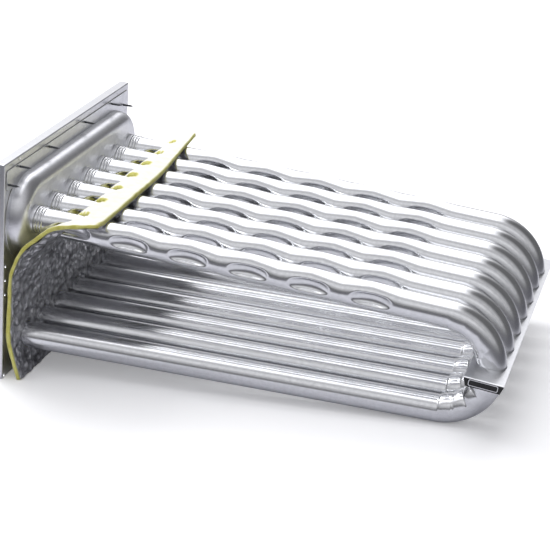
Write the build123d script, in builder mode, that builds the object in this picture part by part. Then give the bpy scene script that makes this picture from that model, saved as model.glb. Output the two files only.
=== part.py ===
"""Furnace heat exchanger: seven U-bent dimpled tubes between a vest panel and a drawn collector header.

Frame, in millimetres: X runs along the tubes from the panel's front face towards the bends,
Y runs across the tubes and Z up. The origin lies on the panel's front face, midway across the
tubes, level with the centre of the bends.
"""
from math import asin, atan, cos, radians, sin, tan
import os

from build123d import *

os.makedirs("parts", exist_ok=True)

# Tubes
tube_count = 7
tube_od = 44.45
tube_wall = 1.0
tube_pitch = 69.85
bend_radius = 81.3
bend_centre_x = 717.0
upper_leg_slope = 2.56
lower_leg_slope = 1.3

# Side dimples in the upper legs
dimple_count = 6
first_dimple_x = 100.0
dimple_run_out = 117.0
dimple_length = 71.0
dimple_neck = 8.0
dimple_nose_radius = 11.0

# Beads next to the header and crush ripples inside the bend
bead_count = 3
bead_radius = 1.6
bead_spacing = 5.2
bead_start = 3.0
ripple_count = 9
ripple_radius = 2.4
ripple_span = 150.0
ripple_shift = 2.0

# Sheet metal panel
sheet = 1.2
panel_side_margin = 3.0
panel_top_margin = 34.2
panel_bottom_margin = 41.0
panel_flange = 16.0
panel_corner = 2.4
tube_clearance = 0.35
edge_hole_radius = 2.0
edge_hole_inset = 7.0
edge_hole_drop = 30.7
edge_hole_rise = 4.8
edge_hole_spacing = 25.0
top_hole_drop = 6.0
top_hole_inset = 59.0
top_hole_shift = -27.0
outlet_radius = 38.0
outlet_stud_spacing = 96.0
outlet_stud_hole = 2.5

# Drawn collector header with its flange and gasket
header_half_height = 69.0
header_end_margin = 44.45
header_depth = 28.0
header_draft = 5.0
header_shoulder = 20.0
header_flange = 10.0
gasket = 0.8
neck_height = 5.0
neck_clearance = 0.3
tube_end_inside = 8.0
ear_drop = 12.0
ear_rise = 22.0
ear_inset = 5.0
ear_corner = 6.0

# Self-drilling screws
screw_radius = 2.1
screw_clearance = 0.2
long_screw_reach = 22.0
short_screw_reach = 5.5
screw_point = 6.0
screw_head_flats = 6.35
screw_head_height = 4.2
screw_washer_radius = 4.6
screw_washer = 0.9
upper_screw_rise = 16.0
upper_screw_insets = (54.0, 87.0)
upper_screw_shifts = (-99.0, 55.0)
end_screw_drop = 2.0
end_screw_insets = (11.0, 27.0)
lower_screw_count = 4
lower_screw_inset = 25.0

# Insulation blanket: a glass-fibre mat with a foil facing on the tube side
mat_thickness = 7.0
foil_thickness = 0.6
mat_side_margin = 4.0
mat_foot_x = 24.0
mat_standoff = 7.0
mat_lean_rise = 65.8
mat_knee_drop = 29.4
mat_shoulder_rise = 25.6
mat_shoulder_gap = 9.2
mat_climb = 72.0
mat_lip_length = 46.0
mat_corner_radius = 24.0
mat_lift = 0.6

# Rear support plate, pierced by the bends and falling towards its outer edge
plate_crossing = 7.76
plate_fall = 4.2
plate_inner_margin = 10.6
plate_outer_margin = 6.3
plate_end_margin = 67.75
plate_flange = 14.5
plate_relief = 4.0
plate_bead_inset = 4.0
plate_bead_width = 1.0
plate_bead_height = 0.5

# Values that follow from those above
tube_radius = tube_od / 2
tube_rows = [(i - (tube_count - 1) / 2) * tube_pitch for i in range(tube_count)]
dimple_spacing = (bend_centre_x - dimple_run_out - first_dimple_x) / (dimple_count - 1)
upper_angle = radians(upper_leg_slope)
lower_angle = radians(lower_leg_slope)
upper_tangent = (bend_centre_x + bend_radius * sin(upper_angle), bend_radius * cos(upper_angle))
lower_tangent = (bend_centre_x + bend_radius * sin(lower_angle), -bend_radius * cos(lower_angle))


def upper_axis_z(x):
    """Height of an upper leg's axis at x."""
    return upper_tangent[1] + (upper_tangent[0] - x) * tan(upper_angle)


def lower_axis_z(x):
    """Height of a lower leg's axis at x."""
    return lower_tangent[1] - (lower_tangent[0] - x) * tan(lower_angle)


header_centre_z = upper_axis_z(0)
header_half_width = tube_rows[-1] + header_end_margin
panel_half_width = header_half_width + header_flange + panel_side_margin
panel_top = header_centre_z + header_half_height + panel_top_margin
panel_bottom = lower_axis_z(0) - tube_radius - panel_bottom_margin
mat_width = 2 * (panel_half_width - mat_side_margin)
header_face_x = gasket + header_depth
neck_end_x = header_face_x + neck_height
upper_end_x = header_face_x - tube_end_inside
lower_end_x = -sheet - tube_clearance - 2 * bead_radius
header_straight = 2 * (header_half_width - header_half_height)


def leg_plane(x, row=0.0):
    """Plane square to an upper leg at x, its normal pointing to the bend."""
    return Plane((x, row, upper_axis_z(x)), x_dir=(0, 1, 0), z_dir=(cos(upper_angle), 0, -sin(upper_angle)))


def inlet_plane(x, row=0.0):
    """Plane square to a lower leg at x, its normal pointing to the bend."""
    return Plane((x, row, lower_axis_z(x)), x_dir=(0, 1, 0), z_dir=(cos(lower_angle), 0, sin(lower_angle)))


def pipe(radius, overrun=0.0):
    """Solid rod that follows one tube's centre line, longer by overrun at both ends."""
    start_x = upper_end_x - overrun
    end_x = lower_end_x - overrun
    with BuildPart() as rod:
        with BuildLine(Plane.XZ) as route:
            Line((start_x, upper_axis_z(start_x)), upper_tangent)
            CenterArc((bend_centre_x, 0), bend_radius, 90 - upper_leg_slope,
                      upper_leg_slope + lower_leg_slope - 180)
            Line(lower_tangent, (end_x, lower_axis_z(end_x)))
        with BuildSketch(leg_plane(start_x)):
            Circle(radius)
        sweep(path=route.wires()[0])
    return rod.part


def dimple_dies(growth=0.0):
    """Wheel-shaped dies that press both sides of an upper leg, grown by a wall where asked."""
    depth = tube_radius - dimple_neck
    wheel_radius = ((dimple_length / 2)**2 + depth**2) / (2 * depth)
    with BuildPart() as wheel:
        Torus(wheel_radius - dimple_nose_radius, dimple_nose_radius + growth)
    places = []
    for i in range(dimple_count):
        x = first_dimple_x + i * dimple_spacing
        for side in (-1, 1):
            offset_y = side * (dimple_neck + wheel_radius)
            places.append(Location((x, offset_y, upper_axis_z(x)), (0, upper_leg_slope, 0)))
    return [wheel.part.moved(place) for place in places]


def ring_bead(plane, major, minor):
    """Round bead that runs once around a tube."""
    with BuildPart() as bead:
        with Locations(plane.location):
            Torus(major, minor)
    return bead.part


# Master tube, on the middle row
beads = [
    ring_bead(leg_plane(neck_end_x + bead_start + i * bead_spacing), tube_radius - bead_radius / 3, bead_radius)
    for i in range(bead_count)
]
beads += [
    ring_bead(inlet_plane(x), tube_radius - bead_radius / 3, bead_radius)
    for x in (tube_clearance + bead_radius, -sheet - tube_clearance - bead_radius)
]
for i in range(ripple_count):
    turn = radians(ripple_span / 2 - i * ripple_span / (ripple_count - 1))
    outward = (cos(turn), 0, sin(turn))
    spot = bend_radius - ripple_shift
    beads.append(
        ring_bead(
            Plane((bend_centre_x + spot * cos(turn), 0, spot * sin(turn)), x_dir=outward,
                  z_dir=(sin(turn), 0, -cos(turn))),
            tube_radius - ripple_radius / 2,
            ripple_radius,
        )
    )

with BuildPart() as tube_cavity:
    add(pipe(tube_radius - tube_wall, 2.0))
    for die in dimple_dies(tube_wall):
        add(die, mode=Mode.SUBTRACT)

with BuildPart() as tube_master:
    add(pipe(tube_radius))
    for die in dimple_dies():
        add(die, mode=Mode.SUBTRACT)
    for bead in beads:
        add(bead)
    add(tube_cavity.part, mode=Mode.SUBTRACT)

for i, row in enumerate(tube_rows):
    with BuildPart() as tube:
        with Locations((0, row, 0)):
            add(tube_master.part)
    tube.part.label = f"tube_{i + 1}"
    export_step(tube.part, f"parts/tube_{i + 1}.step")

# Screw places, as (y, z) on the panel's face
upper_screw_z = header_centre_z + header_half_height + upper_screw_rise
upper_screws = (upper_screw_insets[0] - panel_half_width, *upper_screw_shifts,
                panel_half_width - upper_screw_insets[1])
long_places = [(y, upper_screw_z) for y in upper_screws]
end_screw_z = header_centre_z + header_half_height - end_screw_drop
long_places += [(end_screw_insets[0] - panel_half_width, end_screw_z),
                (panel_half_width - end_screw_insets[1], end_screw_z)]
lower_screw_z = header_centre_z - header_half_height - header_flange / 2
lower_screw_run = header_straight - 2 * lower_screw_inset
short_places = [(lower_screw_run * (i / (lower_screw_count - 1) - 0.5), lower_screw_z)
                for i in range(lower_screw_count)]
screw_places = long_places + short_places
screw_hole = screw_radius + screw_clearance

# Vest panel: a tray of sheet with its four edges folded back
panel_height = panel_top - panel_bottom
panel_middle = (panel_top + panel_bottom) / 2
with BuildPart() as vest_panel:
    with BuildSketch(Plane.YZ) as face:
        with Locations((0, panel_middle)):
            Rectangle(2 * panel_half_width, panel_height)
    extrude(amount=-panel_flange)
    fillet(vest_panel.edges().filter_by(Axis.X), panel_corner)
    fillet(vest_panel.faces().sort_by(Axis.X)[-1].edges(), panel_corner)
    offset(amount=-sheet, openings=vest_panel.faces().sort_by(Axis.X)[0])
    with BuildSketch(Plane.YZ) as holes:
        edge_y = panel_half_width - edge_hole_inset
        edge_heights = [panel_top - edge_hole_drop, panel_bottom + edge_hole_rise]
        edge_heights += [(panel_top + panel_bottom) / 2 + (i - 1.5) * edge_hole_spacing for i in range(3)]
        with Locations(*[(side * edge_y, z) for side in (-1, 1) for z in edge_heights]):
            Circle(edge_hole_radius)
        top_edge_y = panel_half_width - top_hole_inset
        with Locations(*[(y, panel_top - top_hole_drop) for y in (-top_edge_y, top_hole_shift, top_edge_y)]):
            Circle(edge_hole_radius)
        with Locations(*screw_places):
            Circle(screw_hole)
        with Locations((0, header_centre_z)):
            Circle(outlet_radius)
            with PolarLocations(outlet_stud_spacing / 2, 4, 45):
                Circle(outlet_stud_hole)
    extrude(amount=-2 * sheet, mode=Mode.SUBTRACT)
    for row in tube_rows:
        with Locations(inlet_plane(-sheet / 2, row).location):
            Cylinder(tube_radius + tube_clearance, 4 * sheet, mode=Mode.SUBTRACT)
vest_panel.part.label = "vest_panel"
export_step(vest_panel.part, "parts/vest_panel.step")


def flange_outline():
    """Outline of the header's flange on the open sketch: a slot with two screw ears along its top."""
    with Locations((0, header_centre_z)):
        SlotOverall(2 * (header_half_width + header_flange), 2 * (header_half_height + header_flange))
    with Locations((0, header_centre_z + header_half_height + (ear_rise - ear_drop) / 2)):
        RectangleRounded(2 * (panel_half_width - ear_inset), ear_rise + ear_drop, ear_corner)


# Gasket under the header's flange
with BuildPart() as header_gasket:
    with BuildSketch(Plane.YZ):
        flange_outline()
        with Locations((0, header_centre_z)):
            SlotOverall(2 * header_half_width, 2 * header_half_height, mode=Mode.SUBTRACT)
        with Locations(*screw_places):
            Circle(screw_hole, mode=Mode.SUBTRACT)
    extrude(amount=gasket)
header_gasket.part.label = "header_gasket"
export_step(header_gasket.part, "parts/header_gasket.step")

# Collector header: a drawn pan with a neck for each upper leg
with BuildPart() as collector_header:
    with BuildSketch(Plane.YZ.offset(gasket)):
        with Locations((0, header_centre_z)):
            SlotCenterToCenter(header_straight, 2 * header_half_height)
    extrude(amount=header_depth, taper=header_draft)
    fillet(collector_header.faces().sort_by(Axis.X)[-1].edges(), header_shoulder)
    offset(amount=-sheet, openings=collector_header.faces().sort_by(Axis.X)[0])
    with BuildSketch(Plane.YZ.offset(gasket)):
        flange_outline()
        with Locations((0, header_centre_z)):
            SlotCenterToCenter(header_straight, 2 * (header_half_height - sheet), mode=Mode.SUBTRACT)
        with Locations(*screw_places):
            Circle(screw_hole, mode=Mode.SUBTRACT)
    extrude(amount=sheet)
    for row in tube_rows:
        with BuildSketch(leg_plane(neck_end_x, row)):
            Circle(tube_radius + neck_clearance + sheet)
        extrude(amount=-neck_height - header_shoulder / 3)
    for row in tube_rows:
        with BuildSketch(leg_plane(neck_end_x + sheet, row)):
            Circle(tube_radius + neck_clearance)
        extrude(amount=-neck_height - header_depth, mode=Mode.SUBTRACT)
collector_header.part.label = "collector_header"
export_step(collector_header.part, "parts/collector_header.step")

# Screws, driven from behind the panel with their points standing out in front
for name, places, reach in (("long_screw", long_places, long_screw_reach),
                            ("short_screw", short_places, short_screw_reach)):
    for i, (y, z) in enumerate(places):
        point = min(screw_point, reach / 2)
        seat = -sheet
        with BuildPart() as screw:
            with BuildSketch(Plane((seat, y, z), x_dir=(0, 1, 0), z_dir=(-1, 0, 0))):
                Circle(screw_washer_radius)
            extrude(amount=screw_washer)
            with BuildSketch(Plane((seat - screw_washer, y, z), x_dir=(0, 1, 0), z_dir=(-1, 0, 0))):
                RegularPolygon(screw_head_flats / 2, 6, major_radius=False)
            extrude(amount=screw_head_height)
            with BuildSketch(Plane((0, y, z), x_dir=(1, 0, 0), z_dir=(0, -1, 0))):
                Polygon((seat, 0), (seat, screw_radius), (reach - point, screw_radius), (reach, 0), align=None)
            revolve(axis=Axis((0, y, z), (1, 0, 0)))
        screw.part.label = f"{name}_{i + 1}"
        export_step(screw.part, f"parts/{name}_{i + 1}.step")

# Insulation blanket, from the bench up the panel, over the upper legs
tilt = atan((bend_radius + tube_radius + panel_bottom) / bend_centre_x)
mat_foot_z = panel_bottom - mat_foot_x * tan(tilt)


def over_legs_z(x, layers):
    """Height of a surface that lies the given thickness above the upper legs at x."""
    return upper_axis_z(x) + (tube_radius + mat_lift) / cos(upper_angle) + layers


layers = mat_thickness + foil_thickness
mat_shoulder_x = header_face_x + mat_shoulder_gap
mat_crest_x = mat_shoulder_x + mat_climb
mat_lip_x = mat_crest_x + mat_lip_length
back_line = [
    (mat_foot_x, mat_foot_z),
    (mat_standoff, panel_bottom + mat_lean_rise),
    (mat_standoff, header_centre_z - header_half_height - mat_knee_drop),
    (mat_shoulder_x, header_centre_z - header_half_height + mat_shoulder_rise),
    (mat_crest_x, over_legs_z(mat_crest_x, layers)),
    (mat_lip_x, over_legs_z(mat_lip_x, layers)),
]


def blanket_section(depth):
    """Face between the blanket's back line and a line the given depth in front of it."""
    with BuildSketch(Plane.XZ) as section:
        with BuildLine():
            FilletPolyline(*back_line, radius=mat_corner_radius)
            offset(amount=depth, side=Side.RIGHT)
        make_face()
    return section.sketch


with BuildPart() as leg_clearance:
    for row in tube_rows:
        with Locations(leg_plane(mat_crest_x, row).location):
            Cylinder(tube_radius + tube_clearance, 2 * mat_lip_x)
        with Locations(inlet_plane(0, row).location):
            Cylinder(tube_radius + tube_clearance, 2 * mat_lip_x)

with BuildPart() as blanket_mat:
    with BuildSketch(Plane.XZ):
        add(blanket_section(mat_thickness))
    extrude(amount=mat_width / 2, both=True)
    add(leg_clearance.part, mode=Mode.SUBTRACT)
blanket_mat.part.label = "blanket_mat"
export_step(blanket_mat.part, "parts/blanket_mat.step")

with BuildPart() as blanket_foil:
    with BuildSketch(Plane.XZ):
        add(blanket_section(layers))
        add(blanket_section(mat_thickness), mode=Mode.SUBTRACT)
    extrude(amount=mat_width / 2, both=True)
    add(leg_clearance.part, mode=Mode.SUBTRACT)
blanket_foil.part.label = "blanket_foil"
export_step(blanket_foil.part, "parts/blanket_foil.step")

# Rear support plate: a strip with its ends folded down, pierced by the bends
fall = radians(plate_fall)
crossing = radians(plate_crossing)
crossing_x = bend_centre_x + bend_radius * cos(crossing)
crossing_z = bend_radius * sin(crossing)
hole_reach = tube_radius + tube_clearance
plate_along = (cos(fall), 0, -sin(fall))
inner_reach = hole_reach + plate_inner_margin
plate_inner_x = crossing_x - inner_reach * cos(fall) + sheet / 2 * sin(fall)
plate_inner_top = crossing_z + inner_reach * sin(fall) + sheet / 2 * cos(fall)
plate_width = inner_reach + hole_reach + plate_outer_margin
plate_half_width = tube_rows[-1] + plate_end_margin
with BuildPart() as support_plate:
    with BuildSketch(Plane((plate_inner_x, 0, plate_inner_top), x_dir=(0, 1, 0), z_dir=plate_along)) as channel:
        Rectangle(2 * plate_half_width, plate_flange, align=(Align.CENTER, Align.MAX))
        fillet(channel.vertices().group_by(Axis.Y)[-1], 2 * sheet)
        with BuildSketch(mode=Mode.PRIVATE) as inside:
            with Locations((0, -sheet)):
                Rectangle(2 * (plate_half_width - sheet), plate_flange, align=(Align.CENTER, Align.MAX))
            fillet(inside.vertices().group_by(Axis.Y)[-1], sheet)
        add(inside.sketch, mode=Mode.SUBTRACT)
    extrude(amount=plate_width)
    with BuildSketch(Plane((plate_inner_x, 0, plate_inner_top), x_dir=plate_along, z_dir=(0, -1, 0))):
        for end, inward in ((0, 1), (plate_width, -1)):
            Polygon((end, -2 * sheet), (end, -plate_flange), (end + inward * plate_relief, -plate_flange),
                    align=None)
    extrude(amount=plate_half_width, both=True, mode=Mode.SUBTRACT)
    bead_length = plate_width - 2 * (plate_bead_inset + plate_relief)
    bead_rise = plate_flange - plate_bead_inset
    for side in (-1, 1):
        face_start = (plate_inner_x, side * plate_half_width, plate_inner_top)
        with BuildSketch(Plane(face_start, x_dir=plate_along, z_dir=(0, side, 0))):
            with Locations((plate_width / 2, side * plate_flange / 2)):
                RectangleRounded(bead_length, bead_rise, bead_rise / 4)
                RectangleRounded(bead_length - 2 * plate_bead_width, bead_rise - 2 * plate_bead_width,
                                 bead_rise / 4 - plate_bead_width / 2, mode=Mode.SUBTRACT)
        extrude(amount=plate_bead_height)
    for row in tube_rows:
        across_bend = Plane((crossing_x, row, crossing_z), x_dir=(0, 1, 0),
                            z_dir=(sin(crossing), 0, -cos(crossing)))
        with Locations(across_bend.location):
            Cylinder(hole_reach, 10 * sheet, mode=Mode.SUBTRACT)
support_plate.part.label = "support_plate"
export_step(support_plate.part, "parts/support_plate.step")
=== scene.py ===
"""Studio scene of a furnace heat exchanger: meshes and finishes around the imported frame."""

import logging
import math
from collections.abc import Callable
from dataclasses import dataclass
from enum import Enum

import bmesh
import bpy
import numpy as np
from mathutils import Matrix, Vector, noise


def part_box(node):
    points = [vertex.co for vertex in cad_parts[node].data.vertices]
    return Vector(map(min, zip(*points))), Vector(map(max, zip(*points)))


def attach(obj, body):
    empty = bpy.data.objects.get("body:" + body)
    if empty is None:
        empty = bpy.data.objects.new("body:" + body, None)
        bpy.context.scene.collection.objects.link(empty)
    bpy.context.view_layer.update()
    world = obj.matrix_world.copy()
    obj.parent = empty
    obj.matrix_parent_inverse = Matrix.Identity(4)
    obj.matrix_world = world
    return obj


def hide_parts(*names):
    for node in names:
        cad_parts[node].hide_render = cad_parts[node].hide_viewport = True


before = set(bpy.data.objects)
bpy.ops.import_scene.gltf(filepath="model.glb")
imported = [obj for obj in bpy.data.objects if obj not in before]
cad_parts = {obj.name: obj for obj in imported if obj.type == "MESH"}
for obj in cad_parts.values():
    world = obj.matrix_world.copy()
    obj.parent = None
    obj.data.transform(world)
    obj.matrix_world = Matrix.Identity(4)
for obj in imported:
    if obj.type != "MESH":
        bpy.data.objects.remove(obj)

LOG = logging.getLogger("heat_exchanger")
MM = 0.001
ROOT = "root"
Grid = np.ndarray
Faces = list[tuple[int, ...]]


def linear(hex_colour: str, alpha: float = 1.0) -> tuple[float, float, float, float]:
    """Turn an sRGB hex colour to linear.

    Args:
        hex_colour: Six hex digits after a hash.
        alpha: Opacity.

    Returns:
        Linear red, green and blue, with alpha.
    """
    parts = [int(hex_colour[i:i + 2], 16) / 255 for i in (1, 3, 5)]
    red, green, blue = (p / 12.92 if p <= 0.04045 else ((p + 0.055) / 1.055) ** 2.4 for p in parts)
    return red, green, blue, alpha


def add_node(tree: bpy.types.NodeTree, kind: str, inputs: dict | None = None,
             **settings: object) -> bpy.types.Node:
    """Add a node with its settings and links.

    Args:
        tree: Node tree to add to.
        kind: Blender's name of the node type.
        inputs: Values or output sockets by input name or number.
        settings: Attributes of the node.

    Returns:
        The new node.
    """
    node = tree.nodes.new(kind)
    for name, value in settings.items():
        setattr(node, name, value)
    for socket, value in (inputs or {}).items():
        if isinstance(value, bpy.types.NodeSocket):
            tree.links.new(value, node.inputs[socket])
        else:
            node.inputs[socket].default_value = value
    return node


def start_material(name: str) -> tuple[bpy.types.Material, bpy.types.NodeTree, bpy.types.Node]:
    """Start a material.

    Args:
        name: Real material and how it is made.

    Returns:
        The material, its node tree and its shader.
    """
    material = bpy.data.materials.new(name)
    material.use_nodes = True
    return material, material.node_tree, material.node_tree.nodes["Principled BSDF"]


def smooth_step(low: float, high: float, value: Grid) -> Grid:
    """Rise smoothly from 0 at low to 1 at high.

    Args:
        low: Where the rise starts.
        high: Where it ends.
        value: Places to evaluate.

    Returns:
        Values from 0 to 1.
    """
    t = np.clip((value - low) / (high - low), 0.0, 1.0)
    return t * t * (3 - 2 * t)


def soft_min(a: Grid, b: Grid, rounding: float) -> Grid:
    """Take the smaller of two values with a rounded corner between them.

    Args:
        a: First values.
        b: Second values.
        rounding: Width over which the corner is rounded.

    Returns:
        The rounded minimum.
    """
    h = np.clip(0.5 + 0.5 * (b - a) / rounding, 0.0, 1.0)
    return b + (a - b) * h - rounding * h * (1 - h)


def round_ridge(distance: Grid, half_width: float) -> Grid:
    """Give the height of a half-round ridge.

    Args:
        distance: Places across the ridge, from its middle.
        half_width: Where the ridge ends.

    Returns:
        Values from 1 at the middle to 0 at the ends and beyond.
    """
    near = np.clip(1 - np.abs(distance) / half_width, 0.0, 1.0)
    return np.sqrt(near * (2 - near))


def add_mesh(name: str, points: Grid, faces: Faces, material: bpy.types.Material,
             uvs: Grid | None = None) -> bpy.types.Object:
    """Make a smooth-shaded object from points in millimetres.

    Args:
        name: Name of the piece.
        points: One row of x, y and z per vertex, in millimetres.
        faces: Vertex numbers of each face.
        material: Finish of the piece.
        uvs: Optional u and v per vertex.

    Returns:
        The object, linked to the scene.
    """
    mesh = bpy.data.meshes.new(name)
    mesh.from_pydata((np.asarray(points) * MM).tolist(), [], faces)
    shell = bmesh.new()
    shell.from_mesh(mesh)
    bmesh.ops.recalc_face_normals(shell, faces=shell.faces)
    shell.to_mesh(mesh)
    shell.free()
    mesh.materials.append(material)
    mesh.shade_smooth()
    if uvs is not None:
        layer = mesh.uv_layers.new(name="length_and_girth")
        corners = np.empty(len(mesh.loops), dtype=np.int32)
        mesh.loops.foreach_get("vertex_index", corners)
        layer.data.foreach_set("uv", np.asarray(uvs, float)[corners].ravel())
    mesh.validate()
    piece = bpy.data.objects.new(name, mesh)
    bpy.context.scene.collection.objects.link(piece)
    return piece


def tube_quads(rings: int, sides: int, first: int = 0) -> Faces:
    """List the faces between closed rings of vertices.

    Args:
        rings: Number of rings.
        sides: Vertices in each ring.
        first: Number of the first vertex.

    Returns:
        Vertex numbers of each face.
    """
    faces = []
    for ring in range(rings - 1):
        for side in range(sides):
            a = first + ring * sides + side
            b = first + ring * sides + (side + 1) % sides
            faces.append((a, b, b + sides, a + sides))
    return faces


class Coords(Enum):
    """Which coordinates a pattern follows."""

    OBJECT = "Object"
    UV = "UV"


@dataclass(frozen=True)
class CoatedSteel:
    """Steel sheet or tube with a metal coating, rolled: satin, faintly mottled, with fine drawn lines."""

    name: str
    colour: str
    shade: str
    roughness: float
    roughness_swing: float
    mottle_mm: float
    line_mm: float
    line_depth_mm: float
    coords: Coords = Coords.OBJECT
    stretch: float = 1.0

    def build(self) -> bpy.types.Material:
        """Build the material.

        Returns:
            The finished material.
        """
        material, tree, shader = start_material(self.name)
        place = add_node(tree, "ShaderNodeTexCoord").outputs[self.coords.value]
        mottle = add_node(tree, "ShaderNodeTexNoise", {
            "Vector": place, "Scale": 1 / (self.mottle_mm * MM), "Detail": 4.0, "Roughness": 0.6})
        drawn = add_node(tree, "ShaderNodeMapping", {
            "Vector": place, "Scale": (1 / self.stretch, 1.0, 1.0)})
        lines = add_node(tree, "ShaderNodeTexNoise", {
            "Vector": drawn.outputs[0], "Scale": 1 / (self.line_mm * MM), "Detail": 3.0,
            "Roughness": 0.7})
        mixed = add_node(tree, "ShaderNodeMath", {
            0: mottle.outputs[0], 1: lines.outputs[0]}, operation="ADD").outputs[0]
        amount = add_node(tree, "ShaderNodeMapRange", {
            "Value": mixed, "From Min": 0.7, "From Max": 1.3}).outputs[0]
        tint = add_node(tree, "ShaderNodeMix", {
            "Factor": amount, "A": linear(self.shade), "B": linear(self.colour)}, data_type="RGBA")
        rough = add_node(tree, "ShaderNodeMapRange", {
            "Value": amount, "To Min": self.roughness + self.roughness_swing,
            "To Max": self.roughness - self.roughness_swing})
        bump = add_node(tree, "ShaderNodeBump", {
            "Height": mixed, "Strength": 1.0, "Distance": self.line_depth_mm * MM})
        shader.inputs["Metallic"].default_value = 1.0
        tree.links.new(tint.outputs["Result"], shader.inputs["Base Color"])
        tree.links.new(rough.outputs[0], shader.inputs["Roughness"])
        tree.links.new(bump.outputs[0], shader.inputs["Normal"])
        return material


@dataclass(frozen=True)
class GlassWool:
    """Needled glass-fibre mat: cream on its face, yellow where the cut edge shows its fibres end on."""

    name: str = "glass_fibre_mat"
    face: str = "#FBFAF3"
    deep: str = "#F2F0DC"
    cut: str = "#EDE98A"
    cut_deep: str = "#C9C34E"
    fibre_mm: float = 1.2
    clump_mm: float = 14.0
    nap_mm: float = 1.5

    def build(self) -> bpy.types.Material:
        """Build the material; its edge mask is the attribute named cut.

        Returns:
            The finished material.
        """
        material, tree, shader = start_material(self.name)
        place = add_node(tree, "ShaderNodeTexCoord").outputs["Object"]
        fibre = add_node(tree, "ShaderNodeTexNoise", {
            "Vector": place, "Scale": 1 / (self.fibre_mm * MM), "Detail": 5.0, "Roughness": 0.7,
            "Distortion": 1.5})
        clump = add_node(tree, "ShaderNodeTexNoise", {
            "Vector": place, "Scale": 1 / (self.clump_mm * MM), "Detail": 3.0})
        cut = add_node(tree, "ShaderNodeAttribute", attribute_name="cut")
        both = add_node(tree, "ShaderNodeMath", {
            0: fibre.outputs[0], 1: clump.outputs[0]}, operation="MULTIPLY").outputs[0]
        pale = add_node(tree, "ShaderNodeMapRange", {
            "Value": both, "From Min": 0.1, "From Max": 0.34}).outputs[0]
        face = add_node(tree, "ShaderNodeMix", {
            "Factor": pale, "A": linear(self.deep), "B": linear(self.face)}, data_type="RGBA")
        edge = add_node(tree, "ShaderNodeMix", {
            "Factor": pale, "A": linear(self.cut_deep), "B": linear(self.cut)}, data_type="RGBA")
        tint = add_node(tree, "ShaderNodeMix", {
            "Factor": cut.outputs["Fac"], "A": face.outputs["Result"], "B": edge.outputs["Result"]},
            data_type="RGBA")
        bump = add_node(tree, "ShaderNodeBump", {
            "Height": both, "Strength": 0.8, "Distance": self.nap_mm * MM})
        shader.inputs["Roughness"].default_value = 0.95
        shader.inputs["Specular IOR Level"].default_value = 0.2
        shader.inputs["Sheen Weight"].default_value = 0.3
        shader.inputs["Sheen Roughness"].default_value = 0.6
        tree.links.new(tint.outputs["Result"], shader.inputs["Base Color"])
        tree.links.new(bump.outputs[0], shader.inputs["Normal"])
        return material


@dataclass(frozen=True)
class CrumpledFoil:
    """Aluminium foil, crumpled by hand, with painted highlights and shade: its base colour is bright in the
    middle of each small facet and dark at the creases.
    """

    name: str = "crumpled_aluminium_foil"
    colour: str = "#E6E6E8"
    shade: str = "#77777A"
    roughness: float = 0.36
    facet_mm: float = 26.0
    small_share: float = 2.2
    crease_mm: float = 5.0
    warp_mm: float = 16.67
    warp_reach_mm: float = 12.0

    def build(self) -> bpy.types.Material:
        """Build the material.

        Returns:
            The finished material.
        """
        material, tree, shader = start_material(self.name)
        place = add_node(tree, "ShaderNodeTexCoord").outputs["Object"]
        warp = add_node(tree, "ShaderNodeTexNoise", {
            "Vector": place, "Scale": 1 / (self.warp_mm * MM), "Detail": 2.0})
        shifted = add_node(tree, "ShaderNodeVectorMath", {
            0: warp.outputs["Color"], 1: (self.warp_reach_mm * MM,) * 3}, operation="MULTIPLY")
        warped = add_node(tree, "ShaderNodeVectorMath", {
            0: place, 1: shifted.outputs[0]}, operation="ADD").outputs[0]
        facets = add_node(tree, "ShaderNodeTexVoronoi", {
            "Vector": warped, "Scale": 1 / (self.facet_mm * MM)}, feature="DISTANCE_TO_EDGE")
        small = add_node(tree, "ShaderNodeTexVoronoi", {
            "Vector": warped, "Scale": self.small_share / (self.facet_mm * MM)}, feature="F1")
        height = add_node(tree, "ShaderNodeMath", {
            0: facets.outputs[0], 1: small.outputs[0]}, operation="ADD")
        bump = add_node(tree, "ShaderNodeBump", {
            "Height": height.outputs[0], "Strength": 1.0, "Distance": self.crease_mm * MM})
        # Painted highlight and shade: the base colour runs from bright at each small facet's middle to dark
        # at its creases.
        tint = add_node(tree, "ShaderNodeMix", {
            "Factor": small.outputs[0], "A": linear(self.colour), "B": linear(self.shade)},
            data_type="RGBA")
        shader.inputs["Metallic"].default_value = 1.0
        shader.inputs["Roughness"].default_value = self.roughness
        tree.links.new(tint.outputs["Result"], shader.inputs["Base Color"])
        tree.links.new(bump.outputs[0], shader.inputs["Normal"])
        return material


@dataclass(frozen=True)
class PressedFibre:
    """Pressed mineral-fibre board: matt, grey, lightly flecked."""

    name: str = "pressed_mineral_fibre"
    dark: str = "#77756D"
    pale: str = "#A3A196"
    fleck_mm: float = 1.111

    def build(self) -> bpy.types.Material:
        """Build the material.

        Returns:
            The finished material.
        """
        material, tree, shader = start_material(self.name)
        place = add_node(tree, "ShaderNodeTexCoord").outputs["Object"]
        fleck = add_node(tree, "ShaderNodeTexNoise", {
            "Vector": place, "Scale": 1 / (self.fleck_mm * MM), "Detail": 4.0})
        tint = add_node(tree, "ShaderNodeMix", {
            "Factor": fleck.outputs[0], "A": linear(self.dark), "B": linear(self.pale)},
            data_type="RGBA")
        shader.inputs["Roughness"].default_value = 0.9
        tree.links.new(tint.outputs["Result"], shader.inputs["Base Color"])
        return material


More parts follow.
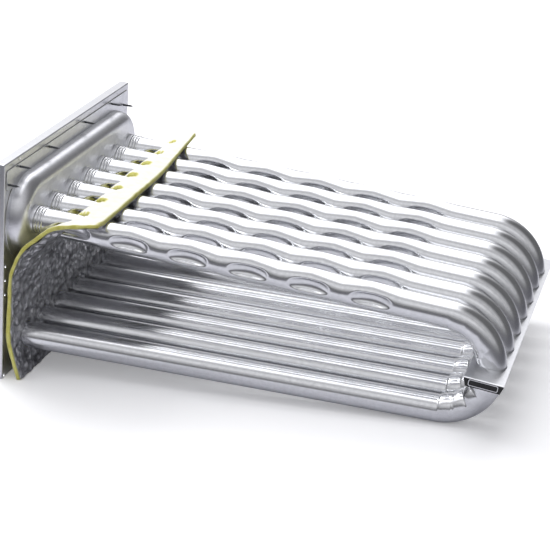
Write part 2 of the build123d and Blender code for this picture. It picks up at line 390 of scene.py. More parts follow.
@dataclass(frozen=True)
class CappedSteel:
    """Coated sheet whose folded end faces are coloured black, a painted dark reflection, leaving the bright
    line of a pressed bead.
    """

    steel: CoatedSteel
    dark_reflection: str = "#101012"
    gloss: tuple[float, float] = (0.35, 0.55)
    speck_mm: float = 1.429
    face_mm: float = 277.0
    bead_mm: float = 277.55

    def build(self) -> bpy.types.Material:
        """Build the material.

        Returns:
            The steel with black, a painted dark reflection, mixed in at both ends.
        """
        material = self.steel.build()
        tree = material.node_tree
        shader, output = tree.nodes["Principled BSDF"], tree.nodes["Material Output"]
        place = add_node(tree, "ShaderNodeTexCoord").outputs["Object"]
        across = add_node(tree, "ShaderNodeSeparateXYZ", {0: place})
        out = add_node(tree, "ShaderNodeMath", {0: across.outputs["Y"]}, operation="ABSOLUTE")
        past_face = add_node(tree, "ShaderNodeMath", {
            0: out.outputs[0], 1: self.face_mm * MM}, operation="GREATER_THAN")
        below_bead = add_node(tree, "ShaderNodeMath", {
            0: out.outputs[0], 1: self.bead_mm * MM}, operation="LESS_THAN")
        # Painted dark reflection: black on the end faces, short of the bead.
        dark_reflection_mask = add_node(tree, "ShaderNodeMath", {
            0: past_face.outputs[0], 1: below_bead.outputs[0]}, operation="MULTIPLY")
        speck = add_node(tree, "ShaderNodeTexNoise", {
            "Vector": place, "Scale": 1 / (self.speck_mm * MM), "Detail": 3.0})
        gloss = add_node(tree, "ShaderNodeMapRange", {
            "Value": speck.outputs[0], "To Min": self.gloss[0], "To Max": self.gloss[1]})
        dark_reflection = add_node(tree, "ShaderNodeBsdfPrincipled", {
            "Base Color": linear(self.dark_reflection), "Roughness": gloss.outputs[0]})
        mixed = add_node(tree, "ShaderNodeMixShader", {
            0: dark_reflection_mask.outputs[0], 1: shader.outputs[0], 2: dark_reflection.outputs[0]})
        tree.links.new(mixed.outputs[0], output.inputs["Surface"])
        return material


@dataclass
class TubeBundle:
    """The seven U-bent tubes, in millimetres and degrees."""

    count: int = 7
    radius: float = 22.225
    wall: float = 1.0
    pitch: float = 69.85
    bend_radius: float = 81.3
    bend_x: float = 717.0
    upper_slope: float = 2.56
    lower_slope: float = 1.3
    upper_end_x: float = 20.8
    lower_end_x: float = -4.75
    dimples: int = 6
    first_dimple: float = 100.0
    dimple_spacing: float = 100.0
    dimple_length: float = 71.0
    dimple_margin: float = 1.2
    dimple_neck: float = 8.0
    die_nose: float = 11.0
    bowl_square: float = 2.6
    rim_rounding: float = 1.6
    oval_reach: float = 48.0
    oval_pinch: float = 0.24
    crest_pinch: float = 0.2
    oval_peak: float = 0.12
    crest_rise: float = 0.11
    covered_rise: float = 0.02
    beads: tuple[float, ...] = (36.8, 42.0, 47.2)
    inlet_beads: tuple[float, ...] = (2.0, -2.8)
    bead_height: float = 1.1
    bead_width: float = 1.9
    ripples: int = 9
    ripple_span: float = 150.0
    ripple_height: float = 3.2
    ripple_fill: float = 0.52
    ripple_sides: tuple[float, float] = (-0.45, 0.75)
    ripple_stray: float = 1.2
    ripple_swing: tuple[float, float] = (0.85, 1.1)
    ripple_fade_turn: float = 20.0
    ripple_fade: float = 0.6
    beads_end: float = 52.0
    dimples_end: float = 640.0
    after_bend: float = 30.0
    inlet_start: float = 12.0
    bead_step: float = 0.8
    dimple_step: float = 2.4
    upper_step: float = 6.0
    bend_step: float = 1.25
    after_bend_step: float = 1.5
    lower_step: float = 8.0
    inner_skip: int = 3
    inner_sides: int = 40
    leg_turn: float = 91.0

    @property
    def sides(self) -> int:
        """Points round the outer wall, two for each of the inner one."""
        return 2 * self.inner_sides

    def rows(self) -> list[float]:
        """Place of each tube across the bundle."""
        return [(i - (self.count - 1) / 2) * self.pitch for i in range(self.count)]

    def leg_end(self, slope: float) -> tuple[float, float]:
        """Find where a leg meets the bend.

        Args:
            slope: The leg's slope.

        Returns:
            Its x, and its distance from the bend's middle height.
        """
        turn = math.radians(slope)
        return self.bend_x + self.bend_radius * math.sin(turn), self.bend_radius * math.cos(turn)

    def upper_axis(self, x: float) -> float:
        """Height of an upper leg's axis at x."""
        end_x, height = self.leg_end(self.upper_slope)
        return height + (end_x - x) * math.tan(math.radians(self.upper_slope))

    def lower_axis(self, x: float) -> float:
        """Height of a lower leg's axis at x."""
        end_x, height = self.leg_end(self.lower_slope)
        return -height - (end_x - x) * math.tan(math.radians(self.lower_slope))

    def stations(self) -> Grid:
        """Lay out cross-sections along a tube.

        Returns:
            One row per section: x, z, the outward direction's x and z, the turn round the bend
            (over 90 on the upper leg, under -90 on the lower) and the distance along.
        """
        up, low = math.radians(self.upper_slope), math.radians(self.lower_slope)
        upper_xs = np.concatenate([
            np.arange(self.upper_end_x, self.beads_end, self.bead_step),
            np.arange(self.beads_end, self.dimples_end, self.dimple_step),
            np.arange(self.dimples_end, self.leg_end(self.upper_slope)[0], self.upper_step)])
        rows = [(x, self.upper_axis(x), math.sin(up), math.cos(up), self.leg_turn) for x in upper_xs]
        for turn in np.arange(90 - self.upper_slope, -90 + self.lower_slope, -self.bend_step):
            a = math.radians(turn)
            rows.append((self.bend_x + self.bend_radius * math.cos(a), self.bend_radius * math.sin(a),
                         math.cos(a), math.sin(a), turn))
        base_x = self.leg_end(self.lower_slope)[0]
        lower_xs = np.concatenate([
            np.arange(base_x, base_x - self.after_bend, -self.after_bend_step),
            np.arange(base_x - self.after_bend, self.inlet_start, -self.lower_step),
            np.arange(self.inlet_start, self.lower_end_x, -self.bead_step), [self.lower_end_x]])
        rows += [(x, self.lower_axis(x), math.sin(low), -math.cos(low), -self.leg_turn) for x in lower_xs]
        table = np.array(rows)
        steps = np.hypot(*np.diff(table[:, :2], axis=0).T)
        along = np.concatenate([[0.0], np.cumsum(steps)])
        return np.column_stack([table, along])

    def dimple(self, x: Grid, side: Grid, rise: Grid, inset: float) -> tuple[Grid, Grid]:
        """Press the dimples into the upper leg's sections, which turn oval on either side of each.

        Args:
            x: Each point's place along the leg.
            side: Each point's distance to the side of the axis.
            rise: Each point's height over the axis.
            inset: How far the wall lies inside the outer one.

        Returns:
            The pressed side and rise.
        """
        nose = self.die_nose + inset
        half = self.dimple_length / 2
        depth = self.radius - self.dimple_neck
        wheel = (half ** 2 + depth ** 2) / (2 * depth)
        untouched = 1e3
        for i in range(self.dimples):
            offset = x - (self.first_dimple + i * self.dimple_spacing)
            near = np.maximum(1 - np.hypot(offset / self.oval_reach, self.oval_peak), 0.0)
            crest = np.clip(np.abs(rise) / self.radius, 0.0, 1.0) ** 4
            side = side * (1 - near * (self.oval_pinch + self.crest_pinch * crest))
            rise = rise * (1 + near * (self.crest_rise if i else self.covered_rise))
            edge = np.clip(np.abs(rise) / nose, 0.0, 1.0) ** self.bowl_square
            section = nose * (1 - edge) ** (1 / self.bowl_square) + wheel - self.die_nose
            bowl = self.dimple_neck + wheel - np.sqrt(np.maximum(section ** 2 - offset ** 2, 0.0))
            inside = (np.abs(rise) < nose) & (np.abs(offset) < half * self.dimple_margin)
            bowl = np.where(inside, bowl, untouched)
            side = np.sign(side) * soft_min(np.abs(side), bowl, self.rim_rounding)
        return side, rise

    def girth(self, table: Grid, cosine: Grid, seed: int) -> Grid:
        """Work out the tube's radius before the dimples: beads, ripples and the hand of the bender.

        Args:
            table: Stations of the tube.
            cosine: Cosine of each point's angle from the outward direction.
            seed: Number that makes each tube a little different.

        Returns:
            Radius of each point, one row per station.
        """
        x, turn = table[:, :1], table[:, 4:5]
        radius = np.full((len(table), cosine.shape[1]), self.radius)
        for beads, on_leg in ((self.beads, turn > 90), (self.inlet_beads, turn < -90)):
            for bead in beads:
                ridge = self.bead_height * round_ridge(x - bead, self.bead_width)
                radius += np.where(on_leg, ridge, 0.0)
        spacing = self.ripple_span / (self.ripples - 1)
        around = smooth_step(*self.ripple_sides, -cosine)
        random = np.random.default_rng(seed)
        for i in range(self.ripples):
            stray = random.uniform(-self.ripple_stray, self.ripple_stray)
            centre = -self.ripple_span / 2 + i * spacing + stray
            fade = 1.0 if centre < self.ripple_fade_turn else self.ripple_fade
            deep = self.ripple_height * random.uniform(*self.ripple_swing) * fade
            radius += deep * round_ridge(turn - centre, spacing * self.ripple_fill) * around
        return radius

    def wall_points(self, table: Grid, row: float, sides: int, inset: float, seed: int) -> Grid:
        """Place the points of one wall of a tube.

        Args:
            table: Stations of the tube.
            row: The tube's place across the bundle.
            sides: Points around each section.
            inset: How far the wall lies inside the outer one.
            seed: Number that makes each tube a little different.

        Returns:
            One row of x, y and z per vertex.
        """
        angle = np.linspace(0, 2 * math.pi, sides, endpoint=False)[None, :]
        radius = self.girth(table, np.cos(angle), seed) - inset
        side, rise = radius * np.sin(angle), radius * np.cos(angle)
        upper = table[:, 4:5] > 90
        pressed_side, pressed_rise = self.dimple(table[:, :1], side, rise, inset)
        side = np.where(upper, pressed_side, side)
        rise = np.where(upper, pressed_rise, rise)
        x = table[:, 0:1] + rise * table[:, 2:3]
        z = table[:, 1:2] + rise * table[:, 3:4]
        return np.stack([x, side + row, z], axis=-1).reshape(-1, 3)

    def lengths(self, table: Grid, sides: int) -> Grid:
        """Give each point of a wall its distance along the tube and round it.

        Args:
            table: Stations of the tube.
            sides: Points around each section.

        Returns:
            One row of length and girth per vertex.
        """
        girth = np.arange(sides) * 2 * math.pi * self.radius / sides
        return np.column_stack([np.repeat(table[:, 5], sides), np.tile(girth, len(table))])

    def end_faces(self, outer: int, inner: int) -> Faces:
        """Close the thickness of the wall at one end of a tube.

        Args:
            outer: First vertex of the outer wall's last ring.
            inner: First vertex of the inner wall's last ring.

        Returns:
            Vertex numbers of each face.
        """
        faces = []
        for i in range(self.inner_sides):
            a, b = outer + 2 * i, outer + 2 * (i + 1) % self.sides
            p, q = inner + i, inner + (i + 1) % self.inner_sides
            faces.append((a, p, q, b, a + 1))
        return faces

    def build(self, material: bpy.types.Material) -> None:
        """Build every tube and put it in place of its node.

        Args:
            material: Finish of the tubes.
        """
        table = self.stations()
        coarse = table[::self.inner_skip]
        if (len(table) - 1) % self.inner_skip:
            coarse = np.vstack([coarse, table[-1:]])
        for i, row in enumerate(self.rows()):
            outer = self.wall_points(table, row, self.sides, 0.0, i)
            inner = self.wall_points(coarse, row, self.inner_sides, self.wall, i)
            faces = tube_quads(len(table), self.sides)
            faces += tube_quads(len(coarse), self.inner_sides, len(outer))
            faces += self.end_faces(0, len(outer))
            faces += self.end_faces(len(outer) - self.sides, len(outer) + len(inner) - self.inner_sides)
            uvs = np.vstack([self.lengths(table, self.sides), self.lengths(coarse, self.inner_sides)]) * MM
            piece = add_mesh(f"tube_{i + 1}_wall", np.vstack([outer, inner]), faces, material, uvs)
            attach(piece, ROOT)
            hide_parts(f"tube_{i + 1}")
            LOG.info("%s: %d faces", piece.name, len(faces))


@dataclass
class Blanket:
    """The insulation blanket: a fibre mat with foil on its tube side, in millimetres."""

    tubes: TubeBundle
    width: float = 526.0
    mat: float = 7.0
    foil: float = 0.6
    lift: float = 0.6
    mat_step: float = 4.0
    foil_step: float = 2.6
    hole_clearance: float = 0.35
    hole_pinch: float = 0.2
    hole_snap: float = 1.7
    corner: float = 13.0
    foot: tuple[float, float] = (24.0, -158.9)
    standoff: float = 7.0
    lean_z: float = -95.0
    knee_z: float = 15.0
    shoulder: tuple[float, float] = (38.0, 70.0)
    crest_x: float = 110.0
    lip_x: float = 156.0
    side_line: tuple[tuple[float, float], ...] = (
        (4.0, -93.0), (6.0, 30.0), (25.0, 76.0), (80.0, 128.0), (158.0, 143.0))
    slack: float = 1.03
    droop_start: float = 226.0
    droop_end: float = 254.0
    lip_retreat: float = 19.0
    corner_lift: float = 5.0
    corner_start: float = 215.0
    corner_end: float = 262.0
    # Low on the back face the mat takes part of the cut edge's yellow, fading out below the strip on the
    # legs.
    lower_yellow: float = 0.55
    lower_yellow_top: float = 128.0
    lower_yellow_fade: float = 25.0
    waves: tuple[tuple[float, float], ...] = ((0.02, 1.8), (0.07, 1.1))
    wave_inset: float = 0.2
    creases: tuple[tuple[float, float], ...] = ((0.045, 5.0), (0.12, 3.0))
    crease_top: float = 90.0
    crease_fade: float = 30.0

    def covered(self, x: Grid) -> Grid:
        """How near x lies to the first dimple, which the blanket covers, from 0 to 1."""
        offset = (x - self.tubes.first_dimple) / self.tubes.oval_reach
        return 0.5 + 0.5 * np.cos(math.pi * np.clip(offset, -1.0, 1.0))

    def leg_top(self, x: float) -> float:
        """Height of the blanket's back face where it lies on the upper legs at x."""
        over = (self.tubes.radius + self.lift) / math.cos(math.radians(self.tubes.upper_slope))
        return self.tubes.upper_axis(x) + over + self.mat + self.foil

    def back_line(self, knots: list[tuple[float, float]], counts: list[int], step: float) -> Grid:
        """Trace one line of the back face from the bench to the lip.

        Args:
            knots: Corners of the line, as x and z.
            counts: Points on each run between corners.
            step: Spacing of the points, which sets how often the corners are smoothed.

        Returns:
            One row of x and z per point.
        """
        runs = [np.linspace(a, b, n, endpoint=False) for a, b, n in zip(knots, knots[1:], counts)]
        line = np.vstack(runs + [np.array(knots[-1:])])
        for _ in range(int(2 * (self.corner / step) ** 2)):
            line[1:-1] = (line[:-2] + 2 * line[1:-1] + line[2:]) / 4
        return line

    def legs(self) -> list[tuple[Grid, Grid]]:
        """List the legs that go through the blanket.

        Returns:
            A point and a direction for each leg.
        """
        t = self.tubes
        up, low = math.radians(t.upper_slope), math.radians(t.lower_slope)
        found = []
        for y in t.rows():
            found.append((np.array([0, y, t.upper_axis(0)]), np.array([math.cos(up), 0, -math.sin(up)])))
            found.append((np.array([0, y, t.lower_axis(0)]), np.array([math.cos(low), 0, math.sin(low)])))
        return found

    def back_face(self, step: float) -> tuple[Grid, Grid]:
        """Lay out the back face, which droops beside the nearest tube.

        Args:
            step: Spacing of the points.

        Returns:
            Points and outward directions, as rows up the face and columns across it.
        """
        middle = [self.foot, (self.standoff, self.lean_z), (self.standoff, self.knee_z), self.shoulder,
                  (self.crest_x, self.leg_top(self.crest_x)), (self.lip_x, self.leg_top(self.lip_x))]
        side = [self.foot, *self.side_line]
        counts = [max(int(math.dist(a, b) / step), 2) for a, b in zip(middle, middle[1:])]
        over, beside = (self.back_line(knots, counts, step) for knots in (middle, side))
        half = self.width / 2
        across = np.linspace(-half, half, int(self.width / step) + 1)
        droop = smooth_step(self.droop_start, self.droop_end, -across)[None, :, None]
        line = over[:, None, :] * (1 - droop) + beside[:, None, :] * droop
        last = np.clip((np.arange(len(over)) - (len(over) - counts[-1])) / counts[-1], 0, 1)[:, None]
        line[..., 0] -= self.lip_retreat * last * smooth_step(0.0, half, across)[None, :]
        corner = smooth_step(self.corner_start, self.corner_end, across)[None, :]
        line[..., 1] += self.corner_lift * last * corner
        points = np.stack([line[..., 0], np.broadcast_to(across, line.shape[:2]), line[..., 1]], axis=-1)
        up, along = np.gradient(points, axis=0), np.gradient(points, axis=1)
        outward = np.cross(along, up)
        outward /= np.linalg.norm(outward, axis=-1, keepdims=True)
        return points, outward

    def wool_waves(self, point: Vector, face: int) -> float:
        """Raise the soft hollows and rises of the mat.

        Args:
            point: Place on the layer.
            face: 0 on the back face, 1 on the front one.

        Returns:
            How far the point moves outward.
        """
        soft = sum(noise.noise(point * pace) * height for pace, height in self.waves)
        return min(soft, 0.0) - self.wave_inset if face else -soft

    def foil_creases(self, point: Vector, face: int) -> float:
        """Raise the sharp creases of the foil, kept flat where it lies on the upper legs.

        Args:
            point: Place on the layer.
            face: 0 on the back face, 1 on the front one; not used, as both crease alike.

        Returns:
            How far the point moves outward.
        """
        broken = sum(abs(noise.noise(point * pace)) * height for pace, height in self.creases)
        lying = min(max((point.z - self.crease_top) / self.crease_fade, 0.0), 1.0)
        return broken * (1 - lying)

    def pierce(self, grids: Grid, step: float) -> tuple[Grid, Grid]:
        """Cut a hole round each leg and draw the points beside it onto its edge.

        Args:
            grids: Points of the back and the front face.
            step: Spacing of the points.

        Returns:
            The points, and which of them lie outside every hole.
        """
        reach = self.tubes.radius + self.hole_clearance
        gaps, aways = [], []
        for start, heading in self.legs():
            away = grids - start
            away -= heading * (away @ heading)[..., None]
            if start[2] > 0:
                away[..., 1] /= 1 - self.hole_pinch * self.covered(grids[..., 0])
            gaps.append(np.linalg.norm(away, axis=-1))
            aways.append(away)
        gaps, aways = np.array(gaps), np.array(aways)
        nearest = gaps.argmin(axis=0)
        gap = gaps.min(axis=0)
        away = np.take_along_axis(aways, nearest[None, ..., None], axis=0)[0]
        kept = (gap >= reach).all(axis=0)
        rows, columns = kept.shape
        padded = np.pad(kept, 1, constant_values=True)
        ringed = np.ones_like(kept)
        for r in range(3):
            for c in range(3):
                ringed &= padded[r:r + rows, c:c + columns]
        beside = (kept & ~ringed)[None, ..., None] & (gap < reach + self.hole_snap * step)[..., None]
        return np.where(beside, grids + away / gap[..., None] * (reach - gap)[..., None], grids), kept

    def stitch(self, number: Grid) -> tuple[Faces, list[tuple]]:
        """Join the points of both faces and find the edges of the sheet and its holes.

        Args:
            number: Vertex number by face, row and column, under 0 in a hole.

        Returns:
            The faces, and each border edge as two places of the grid.
        """
        faces, borders = [], set()
        rows, columns = number.shape[1:]
        for r in range(rows - 1):
            for c in range(columns - 1):
                ring = [(r, c), (r, c + 1), (r + 1, c + 1), (r + 1, c)]
                if any(number[0][p] < 0 for p in ring):
                    continue
                faces.append(tuple(number[0][p] for p in ring[::-1]))
                faces.append(tuple(number[1][p] for p in ring))
                for side in zip(ring, ring[1:] + ring[:1]):
                    if side[::-1] in borders:
                        borders.remove(side[::-1])
                    else:
                        borders.add(side)
        return faces, sorted(borders)

    def sheet(self, step: float, near: float, far: float,
              relief: Callable[[Vector, int], float]) -> tuple[Grid, Faces, Grid]:
        """Mesh one layer of the blanket, with a hole round each leg.

        Args:
            step: Spacing of the points.
            near: Depth of the layer's back face.
            far: Depth of its front face.
            relief: Gives how far a point of the back face, 0, or the front face, 1, moves outward.

        Returns:
            Points, faces and the cut-edge mask of each point.
        """
        base, outward = self.back_face(step)
        rows, columns = base.shape[:2]
        grids = np.stack([base + outward * near, base + outward * far])
        for face in range(2):
            flat = grids[face].reshape(-1, 3)
            moves = np.array([relief(Vector(p), face) for p in flat]).reshape(rows, columns, 1)
            grids[face] += outward * moves
        grids, kept = self.pierce(grids, step)
        amount = kept.sum()
        number = np.full((2, rows, columns), -1)
        number[0][kept] = np.arange(amount)
        number[1][kept] = np.arange(amount) + amount
        points = np.vstack([grids[0][kept], grids[1][kept]])
        faces, borders = self.stitch(number)
        mask = np.zeros(len(points))
        # Yellower towards the bottom of the back face.
        above_yellow = smooth_step(self.lower_yellow_top - self.lower_yellow_fade, self.lower_yellow_top, points[:amount, 2])
        mask[:amount] = self.lower_yellow * (1 - above_yellow)
        for a, b in borders:
            faces.append((number[0][a], number[0][b], number[1][b], number[1][a]))
            for p in (a, b):
                mask[number[0][p]] = mask[number[1][p]] = 1.0
        return points, faces, mask

    def build(self, wool: bpy.types.Material, facing: bpy.types.Material) -> None:
        """Build the mat and its foil and put them in place of their nodes.

        Args:
            wool: Finish of the mat.
            facing: Finish of the foil.
        """
        points, faces, mask = self.sheet(self.mat_step, 0.0, self.mat, self.wool_waves)
        mat = add_mesh("blanket_fibre", points, faces, wool)
        LOG.info("%s: %d faces", mat.name, len(faces))
        attribute = mat.data.attributes.new("cut", "FLOAT", "POINT")
        attribute.data.foreach_set("value", mask)
        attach(mat, ROOT)
        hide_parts("blanket_mat")
        points, faces, _ = self.sheet(self.foil_step, self.mat, self.mat + self.foil, self.foil_creases)
        foil = add_mesh("blanket_facing", points, faces, facing)
        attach(foil, ROOT)
        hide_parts("blanket_foil")
        run = self.back_face(self.foil_step)[0][:, 0]


@dataclass
class Screws:
    """Self-drilling screws with real threads, in millimetres."""

    radius: float = 2.1
    core: float = 1.55
    pitch: float = 1.4
    ridge: float = 0.3
    point: float = 6.0
    tip: float = 0.05
    sheet: float = 1.2
    washer: float = 0.9
    washer_radius: float = 4.6
    washer_round: float = 0.95
    head: float = 4.2
    head_flats: float = 6.35
    head_chamfer: float = 0.4
    head_top: float = 0.88
    step: float = 0.2
    sides: int = 24

    def profile(self, reach: float) -> tuple[Grid, Grid]:
        """Lay out rings from the back of the head to the point.

        Args:
            reach: How far the point stands in front of the panel.

        Returns:
            Places along the screw and the radius of each ring's points.
        """
        angle = np.linspace(0, 2 * math.pi, self.sides, endpoint=False)
        seat = -self.sheet
        under_head = seat - self.washer
        back = under_head - self.head
        flat = math.radians(60)
        hexagon = self.head_flats / 2 / np.cos((angle + flat / 2) % flat - flat / 2)
        circle = np.ones(self.sides)
        rings = [(back, hexagon * 0.02), (back, hexagon * self.head_top),
                 (back + self.head_chamfer, hexagon), (under_head, hexagon),
                 (under_head, circle * self.washer_radius * self.washer_round),
                 (seat - self.washer * 0.7, circle * self.washer_radius),
                 (seat, circle * self.washer_radius), (seat, circle * self.core)]
        point = min(self.point, reach / 2)
        for x in np.arange(seat + self.step, reach, self.step):
            turn = (x / self.pitch - angle / (2 * math.pi)) % 1.0
            ridge = np.clip(1 - np.abs(turn - 0.5) / self.ridge, 0.0, 1.0)
            narrow = np.clip((reach - x) / point, 0.0, 1.0)
            rings.append((x, (self.core + (self.radius - self.core) * ridge) * max(narrow, self.tip)))
        rings.append((reach, circle * self.tip))
        return np.array([r[0] for r in rings]), np.array([r[1] for r in rings])

    def build(self, material: bpy.types.Material) -> None:
        """Build every screw in place of its node.

        Args:
            material: Finish of the screws.
        """
        angle = np.linspace(0, 2 * math.pi, self.sides, endpoint=False)
        for name in sorted(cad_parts):
            if "_screw_" not in name:
                continue
            low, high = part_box(name)
            y, z = (low.y + high.y) / 2 / MM, (low.z + high.z) / 2 / MM
            places, radii = self.profile(high.x / MM)
            points = np.stack([np.repeat(places[:, None], self.sides, axis=1),
                               y + radii * np.cos(angle), z + radii * np.sin(angle)], axis=-1)
            last = (len(places) - 1) * self.sides
            faces = tube_quads(len(places), self.sides)
            faces += [tuple(range(self.sides)), tuple(range(last, last + self.sides))]
            screw = add_mesh(f"{name}_threaded", points.reshape(-1, 3), faces, material)
            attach(screw, ROOT)
            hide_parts(name)
            LOG.info("%s: %d faces", screw.name, len(faces))


@dataclass
class SheetMetal:
    """The panel, header, gasket and support plate, which keep their CAD solids."""

    finishes: dict[str, bpy.types.Material]

    def dress(self) -> None:
        """Give each of these nodes its finish."""
        for name, material in self.finishes.items():
            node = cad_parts[name]
            node.data.materials.clear()
            node.data.materials.append(material)
            LOG.info("%s: %s", name, material.name)


@dataclass(frozen=True)
class RoomLight:
    """A soft patch of light in the room, fading in from the first to the second value of each direction."""

    strength: float
    x: tuple[float, float]
    y: tuple[float, float]
    z: tuple[float, float]

    def build(self, tree: bpy.types.NodeTree, direction: bpy.types.Node) -> bpy.types.NodeSocket:
        """Add the patch to the world.

        Args:
            tree: The world's node tree.
            direction: Node that gives the direction's x, y and z.

        Returns:
            The patch's brightness.
        """
        level = self.strength
        for axis, (dark, bright) in (("X", self.x), ("Y", self.y), ("Z", self.z)):
            fade = add_node(tree, "ShaderNodeMapRange", {
                "Value": direction.outputs[axis], "From Min": dark, "From Max": bright},
                interpolation_type="SMOOTHSTEP")
            level = add_node(tree, "ShaderNodeMath", {
                0: fade.outputs[0], 1: level}, operation="MULTIPLY").outputs[0]
        return level


@dataclass
class Studio:
    """Floor, lamp, world and camera, in metres."""

    panel_foot_z: float = -0.1608
    bend_foot: tuple[float, float] = (0.717, -0.1035)
    camera_place: tuple[float, float, float] = (1.0439, -2.4935, 1.0806)
    camera_target: tuple[float, float, float] = (0.3839, 0.0, 0.0009)
    focal_px: float = 1625.2
    image_px: float = 550.0
    room_grey: float = 0.15
    room_tint: str = "#FCFCFF"
    lights: tuple[RoomLight, ...] = (
        RoomLight(1.7, x=(0.28, 0.0), y=(-0.5, -0.1), z=(0.35, 0.62)),
        RoomLight(0.62, x=(0.55, -0.15), y=(0.55, 0.85), z=(-0.05, 0.2)),
        RoomLight(0.4, x=(-1.2, -1.0), y=(0.2, -0.35), z=(0.0, 0.35)),
        RoomLight(0.3, x=(-1.2, -1.0), y=(-0.55, -0.7), z=(0.35, 0.5)),
    )
    lamp_place: tuple[float, float, float] = (-0.9, 0.5, 1.6)
    lamp_target: tuple[float, float, float] = (0.4, 0.0, 0.0)
    lamp_size: tuple[float, float] = (1.0, 0.8)
    lamp_watts: float = 17.0
    bench_reach: float = 6.0
    bench_glow: float = 0.2
    bench_edge: float = 0.85
    bench_side: float = 1.1
    bench_fade: float = 0.15
    bench_white: str = "#FAFAFB"
    bench_mirrored: str = "#DCDCE2"
    beyond_bench: str = "#5A5A60"

    def tilt(self) -> float:
        """Angle of the bench to the tubes."""
        return math.atan2(self.bend_foot[1] - self.panel_foot_z, self.bend_foot[0])

    def up(self) -> Vector:
        """Direction square to the bench."""
        return Vector((-math.sin(self.tilt()), 0, math.cos(self.tilt())))

    def laminate(self) -> bpy.types.Material:
        """Build the bench's finish, plain white to the camera.

        Returns:
            The finished material.
        """
        material, tree, shader = start_material("white_laminate_bench")
        camera_ray = add_node(tree, "ShaderNodeLightPath").outputs["Is Camera Ray"]
        place = add_node(tree, "ShaderNodeTexCoord").outputs["Object"]
        across = add_node(tree, "ShaderNodeSeparateXYZ", {0: place})
        behind_edge = add_node(tree, "ShaderNodeMapRange", {
            "Value": across.outputs["Y"], "From Min": -self.bench_edge - self.bench_fade,
            "From Max": -self.bench_edge + self.bench_fade})
        before_side = add_node(tree, "ShaderNodeMapRange", {
            "Value": across.outputs["X"], "From Min": self.bench_side + self.bench_fade,
            "From Max": self.bench_side - self.bench_fade})
        on_bench = add_node(tree, "ShaderNodeMath", {
            0: behind_edge.outputs[0], 1: before_side.outputs[0]}, operation="MULTIPLY")
        mirrored = add_node(tree, "ShaderNodeMix", {
            "Factor": on_bench.outputs[0], "A": linear(self.beyond_bench),
            "B": linear(self.bench_mirrored)}, data_type="RGBA")
        tint = add_node(tree, "ShaderNodeMix", {
            "Factor": camera_ray, "A": mirrored.outputs["Result"], "B": linear(self.bench_white)},
            data_type="RGBA")
        glow = add_node(tree, "ShaderNodeMath", {
            0: camera_ray, 1: self.bench_glow}, operation="MULTIPLY")
        shader.inputs["Roughness"].default_value = 0.6
        shader.inputs["Emission Color"].default_value = linear("#FFFFFF")
        tree.links.new(glow.outputs[0], shader.inputs["Emission Strength"])
        tree.links.new(tint.outputs["Result"], shader.inputs["Base Color"])
        return material

    def floor(self) -> None:
        """Lay the bench that the panel's lower edge and the bends stand on."""
        reach = self.bench_reach
        corners = [(-reach, -reach, 0), (reach, -reach, 0), (reach, reach, 0), (-reach, reach, 0)]
        mesh = bpy.data.meshes.new("bench")
        mesh.from_pydata(corners, [], [(0, 1, 2, 3)])
        # White laminate: the metal also sees the bench's front edge, with a darker room beyond it.
        mesh.materials.append(self.laminate())
        bench = bpy.data.objects.new("bench", mesh)
        bpy.context.scene.collection.objects.link(bench)
        lean = Matrix.Rotation(-self.tilt(), 4, "Y")
        bench.matrix_world = Matrix.Translation((0, 0, self.panel_foot_z)) @ lean

    def lamp(self) -> None:
        """Hang one soft box above and behind the panel's end."""
        data = bpy.data.lights.new("top_softbox", "AREA")
        data.shape = "RECTANGLE"
        data.size, data.size_y = self.lamp_size
        data.energy = self.lamp_watts
        lamp = bpy.data.objects.new("top_softbox", data)
        bpy.context.scene.collection.objects.link(lamp)
        turn = (Vector(self.lamp_target) - Vector(self.lamp_place)).to_track_quat("-Z", "Y")
        lamp.matrix_world = Matrix.Translation(self.lamp_place) @ turn.to_matrix().to_4x4()

    def world(self) -> None:
        """Set the room that the metal mirrors: bright patches in grey, and white to the camera."""
        world = bpy.data.worlds.new("pale_room")
        bpy.context.scene.world = world
        world.use_nodes = True
        tree = world.node_tree
        tree.nodes.clear()
        place = add_node(tree, "ShaderNodeTexCoord").outputs["Generated"]
        direction = add_node(tree, "ShaderNodeSeparateXYZ", {0: place})
        level = self.room_grey
        for light in self.lights:
            level = add_node(tree, "ShaderNodeMath", {
                0: light.build(tree, direction), 1: level}, operation="ADD").outputs[0]
        room = add_node(tree, "ShaderNodeBackground", {"Color": linear(self.room_tint), "Strength": level})
        white = add_node(tree, "ShaderNodeBackground", {"Color": linear("#FFFFFF"), "Strength": 1.0})
        path = add_node(tree, "ShaderNodeLightPath")
        mixed = add_node(tree, "ShaderNodeMixShader", {
            0: path.outputs["Is Camera Ray"], 1: room.outputs[0], 2: white.outputs[0]})
        add_node(tree, "ShaderNodeOutputWorld", {0: mixed.outputs[0]})

    def camera(self) -> None:
        """Set the camera at the viewing angle of the picture."""
        data = bpy.data.cameras.new("camera")
        data.sensor_width = 36.0
        data.lens = self.focal_px / self.image_px * data.sensor_width
        data.clip_end = 50.0
        camera = bpy.data.objects.new("camera", data)
        bpy.context.scene.collection.objects.link(camera)
        back = (Vector(self.camera_place) - Vector(self.camera_target)).normalized()
        right = self.up().cross(back).normalized()
        turn = Matrix((right, back.cross(right), back)).transposed().to_4x4()
        camera.matrix_world = Matrix.Translation(self.camera_place) @ turn
        bpy.context.scene.camera = camera

    def build(self) -> None:
        """Set up the whole studio."""
        self.floor()
        self.lamp()
        self.world()
        self.camera()


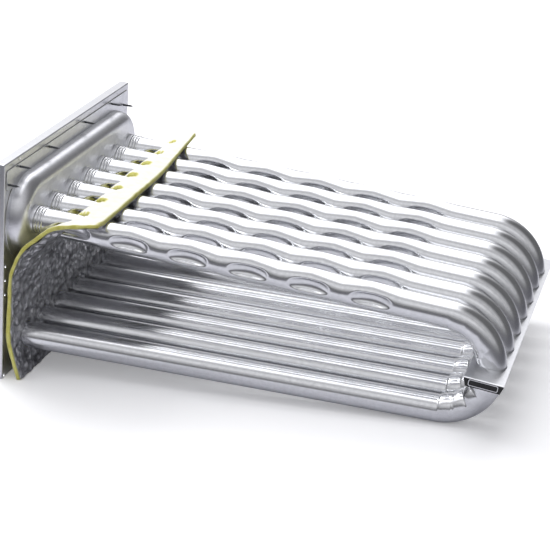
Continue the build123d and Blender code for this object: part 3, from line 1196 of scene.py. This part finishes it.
def main() -> None:
    """Build the scene in order."""
    logging.basicConfig(level=logging.INFO, format="%(message)s")
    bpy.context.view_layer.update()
    bpy.context.scene.view_settings.view_transform = "Standard"

    # Aluminised tube: drawn lines run along it, and the coating is mottled like skin on milk. Its real
    # lines are about 0.1 mm wide, and here and on the sheets they are drawn as coarse as shows.
    tube_finish = CoatedSteel(
        "aluminised_drawn_tube", "#ECEDEF", "#DADBDE", roughness=0.2, roughness_swing=0.05,
        mottle_mm=7.0, line_mm=0.9, line_depth_mm=0.012, coords=Coords.UV, stretch=60.0).build()
    # Deep-drawn aluminised sheet: smoother than the tube, with a wider mottle.
    header_finish = CoatedSteel(
        "aluminised_drawn_sheet", "#EBECEF", "#DCDDE1", roughness=0.34, roughness_swing=0.05,
        mottle_mm=12.0, line_mm=1.2, line_depth_mm=0.010, stretch=8.0).build()
    # Rolled galvanised sheet: duller, with a fine grain.
    panel_finish = CoatedSteel(
        "galvanised_rolled_sheet", "#E4E5E8", "#D6D7DA", roughness=0.32, roughness_swing=0.05,
        mottle_mm=10.0, line_mm=0.8, line_depth_mm=0.010).build()
    # The same sheet at the support plate, its end flanges coloured black as a painted dark reflection.
    plate_finish = CappedSteel(CoatedSteel(
        "galvanised_sheet_black_ends", "#E4E5E8", "#D6D7DA", roughness=0.32, roughness_swing=0.05,
        mottle_mm=10.0, line_mm=0.8, line_depth_mm=0.010)).build()
    # Zinc-plated screws, dulled: dark grey with a low gloss.
    screw_finish = CoatedSteel(
        "dulled_zinc_plate", "#6A6C70", "#4A4C50", roughness=0.38, roughness_swing=0.06,
        mottle_mm=1.5, line_mm=0.4, line_depth_mm=0.01).build()
    # Needled glass fibre: a soft cream face that takes no shine, with raw yellow edges. Single fibres
    # are too fine to show, so the nap is drawn as tufts of 1.2 mm.
    wool_finish = GlassWool().build()
    # Foil crumpled by hand: its bumps break up the room's light, and its base colour adds painted
    # highlights on the small facets and painted shade at their creases.
    foil_finish = CrumpledFoil().build()
    # Pressed mineral fibre: a matt grey line under the header's bright flange.
    gasket_finish = PressedFibre().build()

    tubes = TubeBundle()
    tubes.build(tube_finish)
    Blanket(tubes).build(wool_finish, foil_finish)
    SheetMetal({
        "vest_panel": panel_finish, "support_plate": plate_finish, "collector_header": header_finish,
        "header_gasket": gasket_finish}).dress()
    Screws().build(screw_finish)
    Studio().build()

    bpy.context.view_layer.update()


if __name__ == "__main__":
    main()
